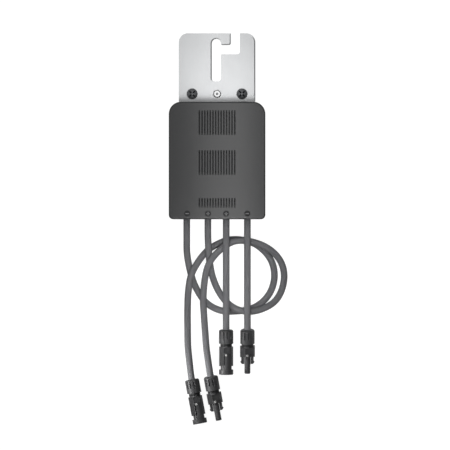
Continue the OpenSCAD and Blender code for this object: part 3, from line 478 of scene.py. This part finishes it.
materials = {
    # glass-filled polycarbonate from an eroded mould: dark grey, satin, finely pebbled
    "housing_plastic": mouldedPlastic(
        "moulded_polycarbonate", ("#202122", "#242425"), roughness=(0.25, 0.33), grain=0.9, grainHeight=0.02,
        ior=1.42),
    # polyamide from a finely blasted mould: near black with a soft sheen
    "connector_plastic": mouldedPlastic(
        "moulded_polyamide", ("#29292a", "#2f2f30"), roughness=(0.44, 0.56), grain=0.7, grainHeight=0.02,
        flow=8.0, ior=1.35),
    # galvanised and rolled steel sheet: pale, evenly matt, brushed lengthwise
    "bracket_steel": brushedMetal(
        "rolled_galvanised_steel", ("#abacad", "#b3b4b5"), roughness=(0.36, 0.48), streak=0.6,
        streakHeight=0.008),
    # blackened steel: dark with a grey glint on the edges
    "screw_steel": grainySurface(
        "blackened_steel", ("#4c4d4f", "#57585a"), roughness=(0.32, 0.5), grain=0.5, grainHeight=0.01,
        metallic=0.7),
    # formed aluminium: bright, slightly dulled by the setting tool
    "rivet_aluminium": brushedMetal(
        "formed_aluminium", ("#a2a3a3", "#aaaaab"), roughness=(0.26, 0.4), streak=0.5, streakHeight=0.006,
        scales=(1, 1, 1)),
    # die-cast aluminium: grey skin with a sandy flow texture
    "cast_aluminium": grainySurface(
        "cast_aluminium", ("#a6a8aa", "#b4b6b8"), roughness=(0.42, 0.6), grain=1.1, grainHeight=0.04,
        metallic=1.0),
    # extruded polyolefin: dull grey skin that hardly mirrors anything, hence the low IOR
    "cable_jacket": extrudedJacket(
        "extruded_polyolefin", ("#565658", "#5e5e60"), roughness=(0.62, 0.74), lineSpacing=0.314,
        lineHeight=0.012, ior=1.08),
    # moulded rubbers: dull and soft, black on the housing, grey in the nuts, blackest on the noses
    "seal_rubber": grainySurface(
        "moulded_rubber", ("#202021", "#262627"), roughness=(0.6, 0.8), grain=0.6, grainHeight=0.02),
    "gland_rubber": grainySurface(
        "moulded_silicone", ("#56595b", "#606365"), roughness=(0.55, 0.75), grain=0.6, grainHeight=0.015),
    "o_ring_rubber": grainySurface(
        "moulded_nitrile", ("#1c1c1d", "#232324"), roughness=(0.5, 0.7), grain=0.5, grainHeight=0.01),
    # laminate under solder mask: green and slightly glossy
    "board_laminate": mouldedPlastic(
        "solder_mask_laminate", ("#1b5434", "#22613d"), roughness=(0.25, 0.4), grain=0.6, grainHeight=0.01),
    # zinc-plated steel: bright, pale grey
    "zinc_steel": brushedMetal(
        "zinc_plated_steel", ("#c6c8c9", "#d2d3d0"), roughness=(0.25, 0.4), streak=0.4, streakHeight=0.005,
        scales=(1, 1, 1)),
    # sintered ferrite: dark, dry and grainy
    "ferrite": grainySurface(
        "sintered_ferrite", ("#38383a", "#434345"), roughness=(0.5, 0.72), grain=0.4, grainHeight=0.02),
    # enamelled copper: reddish with a lacquered shine and rings of wire
    "copper_wire": brushedMetal(
        "enamelled_copper", ("#a85a28", "#bd6c34"), roughness=(0.2, 0.34), streak=0.8, streakHeight=0.05,
        scales=(0.05, 0.05, 1)),
    # shrink sleeve: dark blue and glossy
    "capacitor_sleeve": mouldedPlastic(
        "shrink_sleeve", ("#27364f", "#2e4060"), roughness=(0.2, 0.34), grain=1.2, grainHeight=0.01),
    # moulded epoxy: black and dull
    "chip_plastic": grainySurface(
        "moulded_epoxy", ("#1b1b1d", "#242426"), roughness=(0.45, 0.6), grain=0.3, grainHeight=0.008),
    # filled silicone sheet: pale blue-grey and chalky
    "pad_silicone": grainySurface(
        "filled_silicone_sheet", ("#8a9eab", "#97abb8"), roughness=(0.65, 0.8), grain=0.7, grainHeight=0.02),
    # machined brass and tinned copper: yellow and silver, with fine tool lines
    "terminal_brass": brushedMetal(
        "machined_brass", ("#c29a44", "#d0aa56"), roughness=(0.24, 0.38), streak=0.4, streakHeight=0.006),
    "contact_tin": brushedMetal(
        "tinned_copper", ("#c2c2bc", "#cfcfc9"), roughness=(0.22, 0.36), streak=0.4, streakHeight=0.005),
}
# printing inks: flat and dry, black on the discs, grey on the signs; the lighter ink on the connectors' dots
# is a painted highlight on each body's boss
discInk = grainySurface("matt_printing_ink", ("#161617", "#1a1a1b"), roughness=(0.6, 0.75), grain=0.5,
                        grainHeight=0.008, ior=1.35)
signInk = grainySurface("pale_printing_ink", ("#5c5c5d", "#666667"), roughness=(0.55, 0.7), grain=0.5,
                        grainHeight=0.008)
# painted highlight: the pale dot stands in for the glint on each connector's boss
dotHighlightInk = grainySurface("painted_highlight_ink", ("#747473", "#7c7c7b"), roughness=(0.5, 0.65), grain=0.4,
                       grainHeight=0.006)
# polyamide painted near black on the neck threads: painted shade for the recessed neck between nut and body,
# which is really the body's polyamide; matt
threadShadePlastic = grainySurface("polyamide_painted_shade", ("#0e0e0f", "#131314"), roughness=(0.65, 0.8),
                              grain=0.4, grainHeight=0.008, ior=1.3)


# Gives a piece one material in place of any it has
def dress(piece, material):
    piece.data.materials.clear()
    piece.data.materials.append(material)


for subpart in frame["record"]["subparts"]:
    dress(nodes[subpart["node"]], materials[subpart["material_slot"]])
    piece = rounded.get(subpart["node"])
    if piece:
        dress(piece, materials[subpart["material_slot"]])
for name in connectors:
    dress(cables[name], materials["cable_jacket"])
    # the neck threads take the near-black painted shade
    dress(threads[name], threadShadePlastic)
    dress(dots[name], dotHighlightInk)
dress(polarityDiscs, discInk)
dress(polaritySigns, signInk)

# Each cable ends in its connector: lists the pieces of that connector for each cable, which nothing uses
# further
for name, connector in connectors.items():
    onCord = [rounded[name + "_nut"], rounded[name + "_" + connector["housing"]], threads[name], dots[name],
              nodes[name + "_seal"], nodes[name + "_" + connector["contact"]]]
    if connector["housing"] == "latch":
        onCord += [rounded[name + "_sleeve"], nodes[name + "_o_ring"]]

# Pale floor, a dome of light that fades towards the horizon, and soft lamps over the part and at its left:
# metres, watts and degrees, with the floor's level in millimetres
stageSettings = {
    "floorSize": 6.0, "floorLevel": -0.3, "floorColour": "#787878", "floorRoughness": 0.9, "floorGlow": 0.92,
    "brightSide": (-0.26, 0.22, 1.0), "horizon": 0.35, "dark": 0.3, "bright": 1.05,
    "lamps": {
        "ribbonLamp": {"at": (0.033, -0.06, 0.24), "aim": (0.033, -0.06, 0), "size": (0.025, 0.24),
                       "power": 0.08, "spread": 180},
        "panelLamp": {"at": (0, -0.01, 0.24), "aim": (0, -0.01, 0), "size": (0.055, 0.34),
                      "power": 0.15, "spread": 180},
        "cableLamp": {"at": (0.01, -0.32, 0.5), "aim": (0.01, -0.2, 0), "size": (0.1, 0.1),
                      "power": 0.066, "spread": 30},
        "sideLamp": {"at": (-0.36, -0.36, 0.19), "aim": (0, -0.34, 0.01), "size": (0.06, 0.06),
                     "power": 0.1, "spread": 30},
    },
}


# The floor shows white to the camera and in reflections, and keeps the part's shadow
def makeFloor(settings):
    shape = bmesh.new()
    bmesh.ops.create_grid(shape, x_segments=1, y_segments=1, size=settings["floorSize"] / 2,
                          matrix=Matrix.Translation((0, 0, settings["floorLevel"] * mm)))
    mesh = bpy.data.meshes.new("floor")
    shape.to_mesh(mesh)
    shape.free()
    floor = bpy.data.objects.new("floor", mesh)
    scene.collection.objects.link(floor)
    material = bpy.data.materials.new("pale_paper")
    material.use_nodes = True
    tree = material.node_tree
    shader = tree.nodes["Principled BSDF"]
    shader.inputs["Base Color"].default_value = linear(settings["floorColour"])
    shader.inputs["Roughness"].default_value = settings["floorRoughness"]
    rays = addNode(tree, "ShaderNodeLightPath")
    seen = addNode(tree, "ShaderNodeMath",
                   {0: rays.outputs["Is Camera Ray"], 1: rays.outputs["Is Glossy Ray"]}, operation="MAXIMUM")
    shown = addNode(tree, "ShaderNodeMath",
                    {0: seen.outputs[0], 1: rays.outputs["Is Transmission Ray"]}, operation="MAXIMUM")
    glow = addNode(tree, "ShaderNodeMath",
                   {0: shown.outputs[0], 1: settings["floorGlow"]}, operation="MULTIPLY")
    shader.inputs["Emission Color"].default_value = (1, 1, 1, 1)
    tree.links.new(glow.outputs[0], shader.inputs["Emission Strength"])
    mesh.materials.append(material)


# Sky that is brightest near one direction and dim at the horizon
def lightDome(settings):
    world = bpy.data.worlds.new("dome")
    world.use_nodes = True
    scene.world = world
    tree = world.node_tree
    direction = addNode(tree, "ShaderNodeTexCoord").outputs["Generated"]
    side = Vector(settings["brightSide"]).normalized()
    towards = addNode(tree, "ShaderNodeVectorMath", {0: direction, 1: side}, operation="DOT_PRODUCT")
    strength = addNode(tree, "ShaderNodeMapRange", {
        "Value": towards.outputs["Value"], "From Min": settings["horizon"], "From Max": 1.0,
        "To Min": settings["dark"], "To Max": settings["bright"]}, interpolation_type="SMOOTHSTEP")
    sky = tree.nodes["Background"]
    sky.inputs["Color"].default_value = (1, 1, 1, 1)
    tree.links.new(strength.outputs["Result"], sky.inputs["Strength"])


# Soft lamps that the camera doesn't see
def hangLamps(lamps):
    for name, lamp in lamps.items():
        data = bpy.data.lights.new(name, "AREA")
        data.shape = "RECTANGLE"
        data.size, data.size_y = lamp["size"]
        data.energy = lamp["power"]
        data.spread = radians(lamp["spread"])
        light = bpy.data.objects.new(name, data)
        scene.collection.objects.link(light)
        light.location = lamp["at"]
        light.rotation_euler = (Vector(lamp["aim"]) - Vector(lamp["at"])).to_track_quat("-Z", "Y").to_euler()
        light.visible_camera = False


makeFloor(stageSettings)
lightDome(stageSettings)
hangLamps(stageSettings["lamps"])
print("stage lit")
